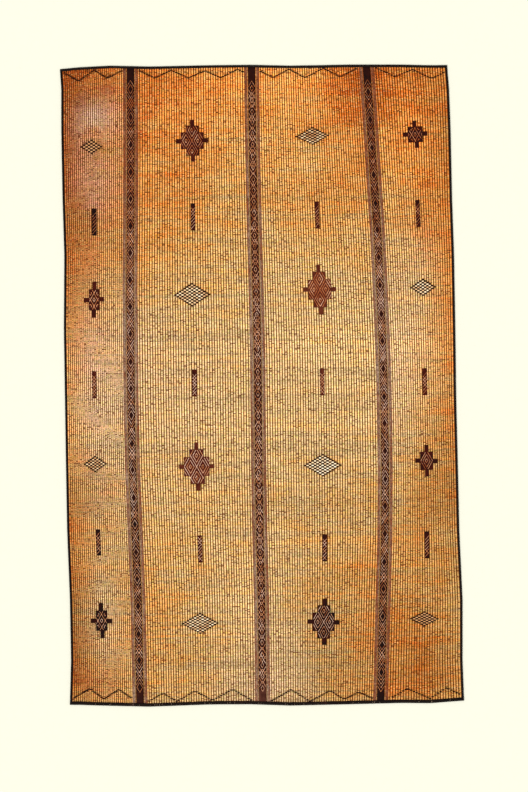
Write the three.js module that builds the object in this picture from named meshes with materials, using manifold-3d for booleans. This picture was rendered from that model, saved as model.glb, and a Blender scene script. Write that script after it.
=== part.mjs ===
// A reed mat laid flat. Reeds run across it, tied by leather thongs that run along it and show as
// ribs. Three leather bands run along it, leather motifs lie in the four panels between them, and a
// folded leather strip binds each edge.
// Millimetres. X runs across the mat, Y along it and Z up; the flat underside lies at height zero.
import * as THREE from 'three';
import { mergeVertices } from 'three/addons/utils/BufferGeometryUtils.js';
import Module from 'manifold-3d';

// Layers, from the surface that the mat lies on
const reedThickness = 3.4;
const thongRise = 0.7;
const bindingLeather = 1.2;
const bandLeather = 1.4;
const flankLeather = 1.2;
const medallionLeather = 1.2;
const laceLeather = 1.0;
const clearance = 0.3;
const thongTop = reedThickness + thongRise;
const bandBase = reedThickness + clearance;
const motifBase = thongTop + clearance;
const marginBase = bindingLeather + clearance;
const bindingHeight = bandBase + bindingLeather;

// Widths of the strips as they show from above
const sideBindingWidth = 10;
const topBindingWidth = 11;
const bottomBindingWidth = 15.5;
const bandWidth = 34;
const bandToFlank = 4;
const flankWidth = 14;
const bandHalf = bandWidth / 2 + bandToFlank + flankWidth;
const thongWidth = 2.4;
const bindingToThongs = 5;
const flankToThongs = 1.5;
const laceWidth = 5;
const barWidth = 21;

// The long edges lean and bow: where each lies across the mat, at places along it and just past it
const sideEdges = [
  { along: -1480, left: -883.5, right: 930.2 },
  { along: -1262, left: -878, right: 922 },
  { along: -986, left: -883, right: 922 },
  { along: -664, left: -896, right: 907 },
  { along: -388, left: -901, right: 901 },
  { along: -66, left: -906, right: 893 },
  { along: 256, left: -911, right: 889 },
  { along: 601, left: -909, right: 883 },
  { along: 854, left: -917, right: 874 },
  { along: 1176, left: -923, right: 867 },
  { along: 1360, left: -923, right: 860 },
  { along: 1480, left: -930.6, right: 850.5 },
];

// The short edges wave a little: where each lies along the mat, at places across it and just past it
const endEdges = [
  { across: -945, bottom: -1466.8, top: 1453.4 },
  { across: -837, bottom: -1468, top: 1464 },
  { across: -699, bottom: -1472, top: 1471 },
  { across: -515, bottom: -1476, top: 1467 },
  { across: -239, bottom: -1466, top: 1473 },
  { across: -55, bottom: -1465, top: 1475 },
  { across: 129, bottom: -1471, top: 1471 },
  { across: 405, bottom: -1465, top: 1476 },
  { across: 635, bottom: -1459, top: 1476 },
  { across: 773, bottom: -1460, top: 1473 },
  { across: 945, bottom: -1446.8, top: 1475 },
];

// The middle line of each band, at places along the mat
const bandLines = [
  { along: -1465, left: -560, middle: 4, right: 545 },
  { along: -990, left: -570, middle: -2, right: 557 },
  { along: -710, left: -581, middle: -9, right: 565 },
  { along: -390, left: -595, middle: -15, right: 567 },
  { along: -66, left: -602, middle: -18, right: 562 },
  { along: 150, left: -604, middle: -20, right: 556 },
  { along: 440, left: -607, middle: -27, right: 544 },
  { along: 690, left: -605, middle: -34, right: 532 },
  { along: 1040, left: -603, middle: -42, right: 509 },
  { along: 1290, left: -604, middle: -46, right: 493 },
  { along: 1470, left: -605, middle: -48, right: 480 },
];

// Thongs in each panel between the edges and the bands, from left to right
const panels = [
  { thongs: 28, from: 'leftEdge', to: 'left' },
  { thongs: 43, from: 'left', to: 'middle' },
  { thongs: 43, from: 'middle', to: 'right' },
  { thongs: 27, from: 'right', to: 'rightEdge' },
];
const thongSegments = 6;

// Woven medallions: a stepped cross with one or two steps above and below its ears
const medallions = [
  { across: -322, along: 1126, width: 148, length: 192, steps: 2 },
  { across: 704, along: 1155, width: 112, length: 125, steps: 1 },
  { across: -772, along: 395, width: 92, length: 166, steps: 1 },
  { across: 266, along: 442, width: 150, length: 230, steps: 2 },
  { across: -300, along: -372, width: 162, length: 222, steps: 2 },
  { across: 757, along: -345, width: 104, length: 145, steps: 1 },
  { across: -737, along: -1080, width: 97, length: 161, steps: 1 },
  { across: 284, along: -1086, width: 145, length: 212, steps: 2 },
];

// Open laced rhombs, with their openings counted along one side
const lattices = [
  { across: -784, along: 1098, width: 100, length: 66, openings: 4 },
  { across: 232, along: 1148, width: 154, length: 81, openings: 6 },
  { across: -321, along: 418, width: 166, length: 108, openings: 7 },
  { across: 740, along: 452, width: 115, length: 78, openings: 5 },
  { across: -766, along: -360, width: 104, length: 74, openings: 5 },
  { across: 279, along: -366, width: 172, length: 103, openings: 7 },
  { across: -284, along: -1093, width: 169, length: 95, openings: 7 },
  { across: 747, along: -1072, width: 130, length: 68, openings: 5 },
];

// Short bars between the other motifs
const bars = [
  { across: -771, along: 752, length: 124 },
  { across: -317, along: 776, length: 124 },
  { across: 253, along: 785, length: 124 },
  { across: 717, along: 792, length: 124 },
  { across: -771, along: 4, length: 124 },
  { across: -310, along: 12, length: 124 },
  { across: 277, along: 17, length: 124 },
  { across: 749, along: 18, length: 124 },
  { across: -752, along: -721, length: 120 },
  { across: -285, along: -751, length: 124 },
  { across: 288, along: -746, length: 124 },
  { across: 758, along: -732, length: 124 },
];

// Zigzag laces near the short edges: the turning points [across, along] of each
const zigzags = [
  { name: 'top_1', turns: [[-912, 1440], [-843, 1400], [-773, 1451], [-711, 1414], [-643, 1449]] },
  {
    name: 'top_2',
    turns: [
      [-568, 1450], [-493, 1414], [-418, 1451], [-339, 1414], [-262, 1448], [-190, 1416],
      [-111, 1455], [-87, 1443],
    ],
  },
  {
    name: 'top_3',
    turns: [
      [-8, 1446], [52, 1416], [124, 1455], [199, 1416], [281, 1459], [361, 1420], [437, 1460],
    ],
  },
  { name: 'top_4', turns: [[525, 1460], [613, 1420], [691, 1454], [781, 1412], [835, 1439]] },
  {
    name: 'bottom_1',
    turns: [[-865, -1436], [-791, -1393], [-727, -1440], [-658, -1397], [-598, -1437]],
  },
  {
    name: 'bottom_2',
    turns: [
      [-518, -1450], [-455, -1414], [-391, -1452], [-308, -1404], [-227, -1447], [-135, -1396],
      [-49, -1445],
    ],
  },
  {
    name: 'bottom_3',
    turns: [
      [43, -1449], [134, -1398], [221, -1451], [314, -1402], [377, -1442], [445, -1409],
      [507, -1438],
    ],
  },
  {
    name: 'bottom_4',
    turns: [[595, -1435], [670, -1393], [773, -1438], [848, -1389], [910, -1419]],
  },
];

const wasm = await Module();
wasm.setup();

// The value in a column of a table, between the rows on either side of a place
function valueAt(table, placeColumn, place, column) {
  const first = table[0];
  const last = table[table.length - 1];
  if (place <= first[placeColumn]) return first[column];
  if (place >= last[placeColumn]) return last[column];
  const next = table.findIndex((row) => row[placeColumn] > place);
  const below = table[next - 1];
  const above = table[next];
  const share = (place - below[placeColumn]) / (above[placeColumn] - below[placeColumn]);
  return THREE.MathUtils.lerp(below[column], above[column], share);
}

const leftEdge = (along) => valueAt(sideEdges, 'along', along, 'left');
const rightEdge = (along) => valueAt(sideEdges, 'along', along, 'right');
const bottomEdge = (across) => valueAt(endEdges, 'across', across, 'bottom');
const topEdge = (across) => valueAt(endEdges, 'across', across, 'top');
const bandLine = (band, along) => valueAt(bandLines, 'along', along, band);

// The corner where a side edge meets an end edge, each moved inwards
function cornerOf(sideEdge, sideInset, endEdge, endInset) {
  let along = endEdge(0);
  let across = 0;
  for (let turn = 0; turn < 8; turn += 1) {
    across = sideEdge(along) + sideInset;
    along = endEdge(across) + endInset;
  }
  return new THREE.Vector2(across, along);
}

// The table places that lie well inside two ends
function placesBetween(table, column, from, to) {
  const margin = 30;
  return table.map((row) => row[column]).filter((place) => place > from + margin && place < to - margin);
}

// The mat's outline, moved inwards at its sides, its bottom and its top
function matOutline({ side, bottom, top }) {
  const bottomLeft = cornerOf(leftEdge, side, bottomEdge, bottom);
  const bottomRight = cornerOf(rightEdge, -side, bottomEdge, bottom);
  const topRight = cornerOf(rightEdge, -side, topEdge, -top);
  const topLeft = cornerOf(leftEdge, side, topEdge, -top);
  const alongBottom = placesBetween(endEdges, 'across', bottomLeft.x, bottomRight.x);
  const upRight = placesBetween(sideEdges, 'along', bottomRight.y, topRight.y);
  const alongTop = placesBetween(endEdges, 'across', topLeft.x, topRight.x).reverse();
  const downLeft = placesBetween(sideEdges, 'along', bottomLeft.y, topLeft.y).reverse();
  return [
    bottomLeft,
    ...alongBottom.map((across) => new THREE.Vector2(across, bottomEdge(across) + bottom)),
    bottomRight,
    ...upRight.map((along) => new THREE.Vector2(rightEdge(along) - side, along)),
    topRight,
    ...alongTop.map((across) => new THREE.Vector2(across, topEdge(across) - top)),
    topLeft,
    ...downLeft.map((along) => new THREE.Vector2(leftEdge(along) + side, along)),
  ];
}

// A flat piece of an outline, from one height to another
function slab(outline, fromHeight, toHeight) {
  const geometry = new THREE.ExtrudeGeometry(new THREE.Shape(outline), {
    depth: toHeight - fromHeight,
    bevelEnabled: false,
  });
  return geometry.translate(0, 0, fromHeight);
}

// A closed geometry as a solid that joins and cuts
function solidFrom(geometry) {
  const bare = geometry.clone();
  bare.deleteAttribute('normal');
  bare.deleteAttribute('uv');
  const merged = mergeVertices(bare);
  return new wasm.Manifold(
    new wasm.Mesh({
      numProp: 3,
      vertProperties: merged.attributes.position.array,
      triVerts: new Uint32Array(merged.index.array),
    }),
  );
}

// A solid back as a geometry with flat faces
function geometryFrom(solid) {
  const { vertProperties, triVerts } = solid.getMesh();
  const geometry = new THREE.BufferGeometry();
  geometry.setAttribute('position', new THREE.BufferAttribute(vertProperties, 3));
  geometry.setIndex(new THREE.BufferAttribute(triVerts, 1));
  const faceted = geometry.toNonIndexed();
  faceted.computeVertexNormals();
  return faceted;
}

// How far across a panel's border lies: an edge's binding or the outer side of a band
function panelBorder(line, along) {
  const edgeInset = sideBindingWidth + bindingToThongs;
  if (line === 'leftEdge') return leftEdge(along) + edgeInset;
  if (line === 'rightEdge') return rightEdge(along) - edgeInset;
  return bandLine(line, along);
}

// The two borders of a panel, at a place along the mat
function panelSpan(panel, along) {
  const fromBand = panel.from === 'leftEdge' ? 0 : bandHalf + flankToThongs;
  const toBand = panel.to === 'rightEdge' ? 0 : bandHalf + flankToThongs;
  return {
    from: panelBorder(panel.from, along) + fromBand,
    to: panelBorder(panel.to, along) - toBand,
  };
}

// Where the thong at a share of a panel's width lies across the mat
function thongAcross(panel, share, along) {
  const span = panelSpan(panel, along);
  return THREE.MathUtils.lerp(span.from, span.to, share);
}

// How far the thongs lean at a place, as a turn about the upward axis
function leanAt(across, along) {
  const reach = 120;
  const panel = panels.find((each) => panelSpan(each, along).to > across);
  const span = panelSpan(panel, along);
  const share = (across - span.from) / (span.to - span.from);
  const drift = thongAcross(panel, share, along + reach) - thongAcross(panel, share, along - reach);
  return -Math.atan2(drift, 2 * reach);
}

// One thong as a rib with a sharp crest, its foot sunk into the reeds
function thongRib(panel, share) {
  const sunk = 0.3;
  const footHalf = (thongWidth / 2) * ((thongRise + sunk) / thongRise);
  const start = bottomBindingWidth + clearance + 1;
  const end = topBindingWidth + clearance + 1;
  const corners = [];
  for (let step = 0; step <= thongSegments; step += 1) {
    const rough = THREE.MathUtils.lerp(bottomEdge(0), topEdge(0), step / thongSegments);
    const across = thongAcross(panel, share, rough);
    const along = THREE.MathUtils.lerp(
      bottomEdge(across) + start,
      topEdge(across) - end,
      step / thongSegments,
    );
    const middle = thongAcross(panel, share, along);
    corners.push(middle - footHalf, along, reedThickness - sunk);
    corners.push(middle + footHalf, along, reedThickness - sunk);
    corners.push(middle, along, thongTop);
  }
  const faces = [0, 1, 2];
  for (let step = 0; step < thongSegments; step += 1) {
    const here = step * 3;
    for (let side = 0; side < 3; side += 1) {
      const a = here + side;
      const b = here + ((side + 1) % 3);
      faces.push(a, a + 3, b);
      faces.push(b, a + 3, b + 3);
    }
  }
  const last = thongSegments * 3;
  faces.push(last, last + 2, last + 1);
  const geometry = new THREE.BufferGeometry();
  geometry.setAttribute('position', new THREE.Float32BufferAttribute(corners, 3));
  geometry.setIndex(faces);
  return geometry;
}

// The reeds as one sheet, thinned from below where the bindings fold round, with the thongs' ribs
function groundGeometry() {
  const edgeInset = bindingLeather + clearance;
  const upper = slab(
    matOutline({ side: edgeInset, bottom: edgeInset, top: edgeInset }),
    marginBase,
    reedThickness,
  );
  const seat = slab(
    matOutline({
      side: sideBindingWidth + clearance,
      bottom: bottomBindingWidth + clearance,
      top: topBindingWidth + clearance,
    }),
    0,
    (marginBase + reedThickness) / 2,
  );
  const ribs = panels.flatMap((panel) =>
    Array.from({ length: panel.thongs }, (_, index) =>
      solidFrom(thongRib(panel, (index + 0.5) / panel.thongs)),
    ),
  );
  const sheet = solidFrom(upper).add(solidFrom(seat));
  return geometryFrom(wasm.Manifold.union([sheet, ...ribs]));
}

// A strip along a side edge, from one inset to another, ending at the bindings of the short edges
function sideStripOutline(edge, inward, fromInset, toInset, overrun) {
  const lineAt = (inset) => {
    const shift = inward * inset;
    const bottom = cornerOf(edge, shift, bottomEdge, bottomBindingWidth + clearance - overrun);
    const top = cornerOf(edge, shift, topEdge, -(topBindingWidth + clearance - overrun));
    const between = placesBetween(sideEdges, 'along', bottom.y, top.y);
    return [
      bottom,
      ...between.map((along) => new THREE.Vector2(edge(along) + shift, along)),
      top,
    ];
  };
  return [...lineAt(fromInset), ...lineAt(toInset).reverse()];
}

// A strip along a short edge, from one inset to another, ending at the long edges
function endStripOutline(edge, inward, fromInset, toInset, overrun) {
  const lineAt = (inset) => {
    const shift = inward * inset;
    const left = cornerOf(leftEdge, -overrun, edge, shift);
    const right = cornerOf(rightEdge, overrun, edge, shift);
    const between = placesBetween(endEdges, 'across', left.x, right.x);
    return [
      left,
      ...between.map((across) => new THREE.Vector2(across, edge(across) + shift)),
      right,
    ];
  };
  return [...lineAt(fromInset), ...lineAt(toInset).reverse()];
}

// A leather strip folded round an edge: a full strip less the slot that the reeds lie in
function bindingGeometry(outlineOf, edge, inward, width) {
  const pastInnerEdge = 5;
  const pastEnds = 5;
  const whole = slab(outlineOf(edge, inward, 0, width, 0), 0, bindingHeight);
  const slot = slab(
    outlineOf(edge, inward, bindingLeather, width + pastInnerEdge, pastEnds),
    bindingLeather,
    bindingHeight - bindingLeather,
  );
  return geometryFrom(solidFrom(whole).subtract(solidFrom(slot)));
}

// A strip that follows a band's middle line at a distance, between the bindings of the short edges
function bandStripGeometry(band, fromMiddle, toMiddle, leather) {
  const lineAt = (distance) => {
    const edge = (along) => bandLine(band, along);
    const bottom = cornerOf(edge, distance, bottomEdge, bottomBindingWidth + clearance);
    const top = cornerOf(edge, distance, topEdge, -(topBindingWidth + clearance));
    const between = placesBetween(bandLines, 'along', bottom.y, top.y);
    return [
      bottom,
      ...between.map((along) => new THREE.Vector2(edge(along) + distance, along)),
      top,
    ];
  };
  return slab([...lineAt(toMiddle), ...lineAt(fromMiddle).reverse()], bandBase, bandBase + leather);
}

// The stepped cross of a medallion: its outline on the right, copied to the left
function medallionGeometry({ width, length, steps }) {
  const half = { width: width / 2, length: length / 2 };
  const ear = { length: 22, half: 10 };
  const tab = { half: 9.5, length: length * (steps === 2 ? 0.14 : 0.21) };
  const body = half.width - ear.length;
  const shoulder = { half: body * 0.57, length: steps === 2 ? length * 0.16 : 0 };
  const bodyTop = half.length - tab.length - shoulder.length;
  const upperRight = [
    [body + ear.length, ear.half],
    [body, ear.half],
    [body, bodyTop],
  ];
  if (steps === 2) {
    upperRight.push([shoulder.half, bodyTop]);
    upperRight.push([shoulder.half, bodyTop + shoulder.length]);
  }
  const shoulderTop = bodyTop + shoulder.length;
  upperRight.push([tab.half, shoulderTop]);
  upperRight.push([tab.half, half.length]);
  const right = [...upperRight.map(([x, y]) => [x, -y]).reverse(), ...upperRight];
  const left = right.map(([x, y]) => [-x, y]).reverse();
  const outline = [...right, ...left].map(([x, y]) => new THREE.Vector2(x, y));
  return slab(outline, 0, medallionLeather);
}

// A rhomb of crossing laces, open between them
function latticeGeometry({ width, length, openings }) {
  const pitch = { across: width / (2 * openings + 1), along: length / (2 * openings + 1) };
  const opening = new THREE.BoxGeometry(0.8 * pitch.across, 0.82 * pitch.along, 4 * laceLeather);
  const cuts = [];
  for (let row = 0; row < openings; row += 1) {
    for (let column = 0; column < openings; column += 1) {
      const across = (column - row) * pitch.across;
      const along = (column + row + 1 - openings) * pitch.along;
      cuts.push(solidFrom(opening.clone().translate(across, along, 0)));
    }
  }
  const rhomb = [
    new THREE.Vector2(width / 2, 0),
    new THREE.Vector2(0, length / 2),
    new THREE.Vector2(-width / 2, 0),
    new THREE.Vector2(0, -length / 2),
  ];
  const plate = solidFrom(slab(rhomb, 0, laceLeather));
  return geometryFrom(plate.subtract(wasm.Manifold.union(cuts)));
}

// A plain short bar
function barGeometry({ length }) {
  return new THREE.BoxGeometry(barWidth, length, medallionLeather).translate(
    0,
    0,
    medallionLeather / 2,
  );
}

// A lace that zigzags through its turning points
function zigzagGeometry({ turns }) {
  const lower = turns.map(([x, y]) => new THREE.Vector2(x, y - laceWidth / 2));
  const upper = turns.map(([x, y]) => new THREE.Vector2(x, y + laceWidth / 2)).reverse();
  return slab([...lower, ...upper], motifBase, motifBase + laceLeather);
}

function reedMaterial() {
  return new THREE.MeshStandardMaterial({ color: 0xc48a48, roughness: 0.7, metalness: 0 });
}

function bindingMaterial() {
  return new THREE.MeshStandardMaterial({ color: 0x1c120d, roughness: 0.6, metalness: 0 });
}

function bandMaterial() {
  return new THREE.MeshStandardMaterial({ color: 0x5a2a20, roughness: 0.65, metalness: 0 });
}

function flankMaterial() {
  return new THREE.MeshStandardMaterial({ color: 0x7c6450, roughness: 0.7, metalness: 0 });
}

function medallionMaterial() {
  return new THREE.MeshStandardMaterial({ color: 0x4a1c16, roughness: 0.65, metalness: 0 });
}

function laceMaterial() {
  return new THREE.MeshStandardMaterial({ color: 0x24120c, roughness: 0.65, metalness: 0 });
}

const mat = new THREE.Group();

function place(name, geometry, material) {
  const mesh = new THREE.Mesh(geometry, material);
  mesh.name = name;
  mat.add(mesh);
  return mesh;
}

// A motif lies on the thongs and leans as they do
function placeMotif(name, geometry, material, { across, along }) {
  const mesh = place(name, geometry, material);
  mesh.position.set(across, along, motifBase);
  mesh.rotation.z = leanAt(across, along);
}

place('reed_ground', groundGeometry(), reedMaterial());

const sideBindings = [
  { name: 'binding_left', edge: leftEdge, inward: 1 },
  { name: 'binding_right', edge: rightEdge, inward: -1 },
];
for (const { name, edge, inward } of sideBindings) {
  const geometry = bindingGeometry(sideStripOutline, edge, inward, sideBindingWidth);
  place(name, geometry, bindingMaterial());
}

const endBindings = [
  { name: 'binding_top', edge: topEdge, inward: -1, width: topBindingWidth },
  { name: 'binding_bottom', edge: bottomEdge, inward: 1, width: bottomBindingWidth },
];
for (const { name, edge, inward, width } of endBindings) {
  const geometry = bindingGeometry(endStripOutline, edge, inward, width);
  place(name, geometry, bindingMaterial());
}

for (const band of ['left', 'middle', 'right']) {
  const innerFlank = bandWidth / 2 + bandToFlank;
  const centre = bandStripGeometry(band, -bandWidth / 2, bandWidth / 2, bandLeather);
  place(`band_${band}`, centre, bandMaterial());
  const flankA = bandStripGeometry(band, -bandHalf, -innerFlank, flankLeather);
  place(`flank_${band}_a`, flankA, flankMaterial());
  const flankB = bandStripGeometry(band, innerFlank, bandHalf, flankLeather);
  place(`flank_${band}_b`, flankB, flankMaterial());
}

medallions.forEach((medallion, index) => {
  placeMotif(`medallion_${index + 1}`, medallionGeometry(medallion), medallionMaterial(), medallion);
});

lattices.forEach((lattice, index) => {
  placeMotif(`lattice_${index + 1}`, latticeGeometry(lattice), laceMaterial(), lattice);
});

bars.forEach((bar, index) => {
  placeMotif(`bar_${index + 1}`, barGeometry(bar), medallionMaterial(), bar);
});

for (const zigzag of zigzags) {
  place(`zigzag_${zigzag.name}`, zigzagGeometry(zigzag), laceMaterial());
}

export default mat;
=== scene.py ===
import math

import bpy
import numpy as np
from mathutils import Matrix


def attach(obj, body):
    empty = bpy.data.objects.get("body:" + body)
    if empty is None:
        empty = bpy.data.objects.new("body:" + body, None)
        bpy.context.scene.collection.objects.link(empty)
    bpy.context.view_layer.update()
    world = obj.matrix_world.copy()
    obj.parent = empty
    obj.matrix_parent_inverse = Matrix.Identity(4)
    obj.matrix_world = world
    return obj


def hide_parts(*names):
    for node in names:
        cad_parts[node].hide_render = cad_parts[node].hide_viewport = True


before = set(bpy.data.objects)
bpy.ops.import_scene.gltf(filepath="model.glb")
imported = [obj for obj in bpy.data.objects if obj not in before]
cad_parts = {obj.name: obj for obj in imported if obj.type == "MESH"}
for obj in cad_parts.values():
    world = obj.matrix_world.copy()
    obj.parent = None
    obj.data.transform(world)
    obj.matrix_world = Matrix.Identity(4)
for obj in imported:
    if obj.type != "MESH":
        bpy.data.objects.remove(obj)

mm = 0.001
scene = bpy.context.scene
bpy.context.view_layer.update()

# Where things lie on the mat, in millimetres: x runs across it, y along it
outline = {
    "sides": [  # along the mat, left edge, right edge
        (-1480, -883.5, 930.2), (-1262, -878, 922), (-986, -883, 922), (-664, -896, 907),
        (-388, -901, 901), (-66, -906, 893), (256, -911, 889), (601, -909, 883),
        (854, -917, 874), (1176, -923, 867), (1360, -923, 860), (1480, -930.6, 850.5),
    ],
    "ends": [  # across the mat, bottom edge, top edge
        (-945, -1466.8, 1453.4), (-837, -1468, 1464), (-699, -1472, 1471), (-515, -1476, 1467),
        (-239, -1466, 1473), (-55, -1465, 1475), (129, -1471, 1471), (405, -1465, 1476),
        (635, -1459, 1476), (773, -1460, 1473), (945, -1446.8, 1475),
    ],
    "bindingSide": 10, "bindingTop": 11, "bindingBottom": 15.5, "edgeToThongs": 15,
}

bandLayout = {
    "middles": [  # along the mat, then the middle of the left, middle and right band
        (-1465, -560, 4, 545), (-990, -570, -2, 557), (-710, -581, -9, 565),
        (-390, -595, -15, 567), (-66, -602, -18, 562), (150, -604, -20, 556),
        (440, -607, -27, 544), (690, -605, -34, 532), (1040, -603, -42, 509),
        (1290, -604, -46, 493), (1470, -605, -48, 480),
    ],
    "half": 17, "gap": 4, "flank": 14, "flankToThongs": 1.5,
}
bandReach = bandLayout["half"] + bandLayout["gap"] + bandLayout["flank"]
bandNames = ["left", "middle", "right"]
panelThongs = [28, 43, 43, 27]


def readRow(rows, place, column):
    return np.interp(place, [row[0] for row in rows], [row[column] for row in rows])


def edgeOf(rows, column):
    return lambda place: readRow(rows, place, column)


leftEdge, rightEdge = edgeOf(outline["sides"], 1), edgeOf(outline["sides"], 2)
bottomEdge, topEdge = edgeOf(outline["ends"], 1), edgeOf(outline["ends"], 2)


def underBinding(across, along, beyond):
    low, top = outline["bindingBottom"] + beyond, outline["bindingTop"] + beyond
    return (along < bottomEdge(across) + low) | (along > topEdge(across) - top)


def bandMiddle(band, along):
    return readRow(bandLayout["middles"], along, band + 1)


def panelSpan(panel, along):
    # where the thongs of a panel start and end
    left, right = leftEdge(along) + outline["edgeToThongs"], rightEdge(along) - outline["edgeToThongs"]
    beside = bandReach + bandLayout["flankToThongs"]
    if panel > 0:
        left = bandMiddle(panel - 1, along) + beside
    if panel < 3:
        right = bandMiddle(panel, along) - beside
    return left, right


def thongAcross(panel, turn, along):
    left, right = panelSpan(panel, along)
    return left + (right - left) * turn / panelThongs[panel]


def alongAt(across, share, bottomInset, topInset):
    low = bottomEdge(across) + bottomInset
    return low + (topEdge(across) - topInset - low) * share


def settle(acrossOf, share, bottomInset, topInset):
    # where a line that runs along the mat meets each share of its length
    along = alongAt(0 * share, share, bottomInset, topInset)
    for _ in range(3):
        along = alongAt(acrossOf(along), share, bottomInset, topInset)
    return acrossOf(along), along


def leanAt(across, along):
    # how far the thongs lean there, as a turn about the upward axis
    reach = 120
    panel = next(p for p in range(4) if panelSpan(p, along)[1] > across or p == 3)
    left, right = panelSpan(panel, along)
    turn = (across - left) / (right - left) * panelThongs[panel]
    drift = thongAcross(panel, turn, along + reach) - thongAcross(panel, turn, along - reach)
    return -math.atan2(drift, 2 * reach)


def waver(chance, count, every, size):
    # a slow uneven drift; the pieces give it as a pair: a new value every few steps, and its size
    knots = chance.uniform(-size, size, count // every + 2)
    return np.interp(np.arange(count) / every, np.arange(len(knots)), knots)


def shaken(chance, values, by):
    return np.asarray(values) + chance.uniform(-by, by, np.shape(values))


# Tone of the field: soft patches listed one by one, each with its middle, its reach and its amount
fieldTone = {
    "base": {"warm": 0.09},
    "falloff": 1.1,
    "limits": {"warm": (-0.3, 1), "pale": (0, 1), "grime": (0, 1), "bright": (-0.6, 0.45)},
    # across, along, reach across, reach along, amount
    "warm": [
        (0, 1700, 1700, 700, 0.60), (-910, 1150, 190, 560, 0.50), (-890, 600, 150, 420, 0.36),
        (-880, 150, 150, 350, 0.32), (-860, -450, 150, 320, 0.36), (-880, -950, 70, 450, 0.50),
        (-820, -1340, 110, 170, 0.60), (-700, -1400, 100, 120, 0.20), (-715, 800, 110, 420, 0.22),
        (-700, -180, 80, 250, -0.15), (-520, 1350, 200, 400, 0.28), (-380, 880, 300, 330, 0.28),
        (-500, 600, 150, 260, 0.25), (-200, 640, 120, 150, 0.14), (0, -60, 700, 300, -0.07),
        (-470, -1100, 260, 480, 0.28), (-110, -1300, 70, 200, -0.20), (430, 1380, 150, 260, 0.38),
        (360, 880, 170, 260, 0.36), (110, 880, 110, 120, 0.28), (430, -1050, 180, 560, 0.38),
        (80, -1300, 80, 260, -0.30), (720, 1300, 250, 400, 0.22), (750, 850, 200, 350, 0.25),
        (870, 600, 110, 500, 0.40), (880, 0, 130, 500, 0.35), (860, -420, 160, 350, 0.34),
        (250, 60, 330, 300, -0.08), (-140, -1080, 110, 380, -0.14), (-740, -1100, 60, 220, -0.10),
        (-180, 1370, 90, 160, -0.10), (814, -1300, 160, 200, 0.10), (290, 1015, 160, 70, -0.12),
        (80, -1290, 60, 160, -0.30), (690, -1100, 60, 220, -0.15), (685, 150, 60, 160, 0.10),
        (-870, 1200, 70, 420, 0.22), (-780, 250, 60, 200, 0.12), (640, -1000, 40, 250, 0.15),
        (740, -1000, 220, 420, 0.34), (740, -1350, 260, 230, 0.38), (640, 200, 70, 220, -0.12),
        (10, -1390, 130, 170, -0.30),
    ],
    "pale": [
        (-717, 1240, 90, 110, 0.65), (-740, 960, 90, 220, 0.65), (-740, 30, 110, 400, 0.85),
        (-487, 140, 80, 200, 0.50), (655, 150, 80, 260, 0.80), (660, 560, 90, 160, 0.45),
        (-790, 1210, 60, 90, 0.40), (-690, -1080, 60, 330, 0.65), (-700, -500, 80, 160, 0.35),
        (-480, 330, 80, 160, 0.30), (-420, -60, 160, 260, 0.30), (650, -150, 70, 160, 0.35),
        (130, -1250, 90, 220, 0.50), (-120, -1100, 60, 350, 0.40), (80, 150, 90, 300, 0.20),
        (10, -1390, 110, 150, 0.35),
    ],
    "grime": [
        (-880, 830, 110, 330, 0.60), (-880, 480, 90, 200, 0.35), (-790, -1330, 70, 200, 0.30),
        (-800, -930, 70, 260, 0.35), (400, -1370, 120, 120, 0.35), (720, -1370, 200, 120, 0.35),
        (860, -180, 90, 260, 0.35), (-20, -1250, 60, 230, 0.50), (-780, 1090, 90, 70, 0.40),
        (-590, -900, 60, 500, 0.25), (-640, 760, 50, 420, 0.25), (0, -1450, 1200, 30, 0.30),
        (0, 1462, 1200, 26, 0.35), (190, 1330, 100, 60, 0.20), (-300, 1010, 160, 60, 0.30),
    ],
    "bright": [
        (-180, 1180, 480, 330, 0.15), (60, 1400, 380, 120, 0.32), (650, 1080, 90, 230, 0.32),
        (-850, 1330, 110, 160, -0.36), (850, 1250, 80, 400, -0.22), (380, 230, 380, 180, 0.12),
        (660, 220, 90, 220, 0.14), (-720, 250, 80, 150, 0.14), (-850, 740, 80, 240, -0.26),
        (-850, -520, 130, 160, -0.28), (850, -500, 130, 300, -0.26), (300, -560, 500, 110, -0.14),
        (-840, -1120, 90, 400, -0.50), (840, -1050, 140, 420, -0.26), (300, -1130, 230, 330, -0.24),
        (-850, 1130, 50, 200, -0.16), (830, -1330, 90, 120, -0.20), (340, -1340, 160, 80, -0.14),
        (640, -1150, 80, 300, -0.20), (-400, -1270, 110, 150, -0.34), (-225, -1150, 50, 300, -0.20),
        (-70, -1150, 90, 300, 0.22), (-700, -240, 60, 120, 0.14), (-700, -1100, 50, 250, 0.14),
        (-60, -1400, 60, 150, -0.26),
    ],
}


def toneAt(kind, across, along):
    total = np.full(np.broadcast(across, along).shape, fieldTone["base"].get(kind, 0.0))
    for x, y, reachX, reachY, amount in fieldTone[kind]:
        away = ((across - x) / reachX) ** 2 + ((along - y) / reachY) ** 2
        total += amount * np.exp(-fieldTone["falloff"] * away)
    return np.clip(total, *fieldTone["limits"][kind])


# Shapes. Most are rings of points with the same faces round each
def makePiece(name, points, faces, materials, marks=None, values=None, smooth=True):
    mesh = bpy.data.meshes.new(name)
    mesh.from_pydata((np.asarray(points) * mm).tolist(), [], faces)
    for material in materials:
        mesh.materials.append(material)
    if marks is not None:
        mesh.polygons.foreach_set("material_index", np.asarray(marks, dtype=np.int32))
    mesh.polygons.foreach_set("use_smooth", np.full(len(mesh.polygons), smooth))
    for label, numbers in (values or {}).items():
        layer = mesh.attributes.new(label, "FLOAT", "POINT")
        layer.data.foreach_set("value", np.asarray(numbers, dtype=np.float32).ravel())
    mesh.update()
    piece = bpy.data.objects.new(name, mesh)
    scene.collection.objects.link(piece)
    return piece


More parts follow.
